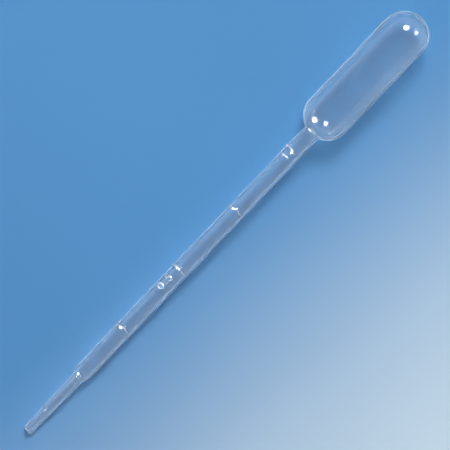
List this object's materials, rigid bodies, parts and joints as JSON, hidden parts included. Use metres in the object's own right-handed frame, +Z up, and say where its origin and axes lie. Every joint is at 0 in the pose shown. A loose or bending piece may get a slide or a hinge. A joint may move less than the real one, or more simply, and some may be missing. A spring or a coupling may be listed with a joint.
{
  "type": "dropper pipette",
  "caption": "One-piece clear plastic dropper pipette with a squeeze bulb, a long graduated stem and a narrow stepped tip, lying on its side.",
  "frame": {"origin": "bottom centre of the bounding box, on the floor that the pipette lies on", "axes": "+X along the pipette from the nozzle to the bulb, level as it lies; +Z up; +Y across, the side that the graduations lean towards"},
  "size_m": [0.155, 0.0136, 0.015],
  "materials": {
    "polyethylene": "satin"
  },
  "bodies": {
    "root": {"dropper_pipette": "polyethylene"}
  },
  "joints": []
}
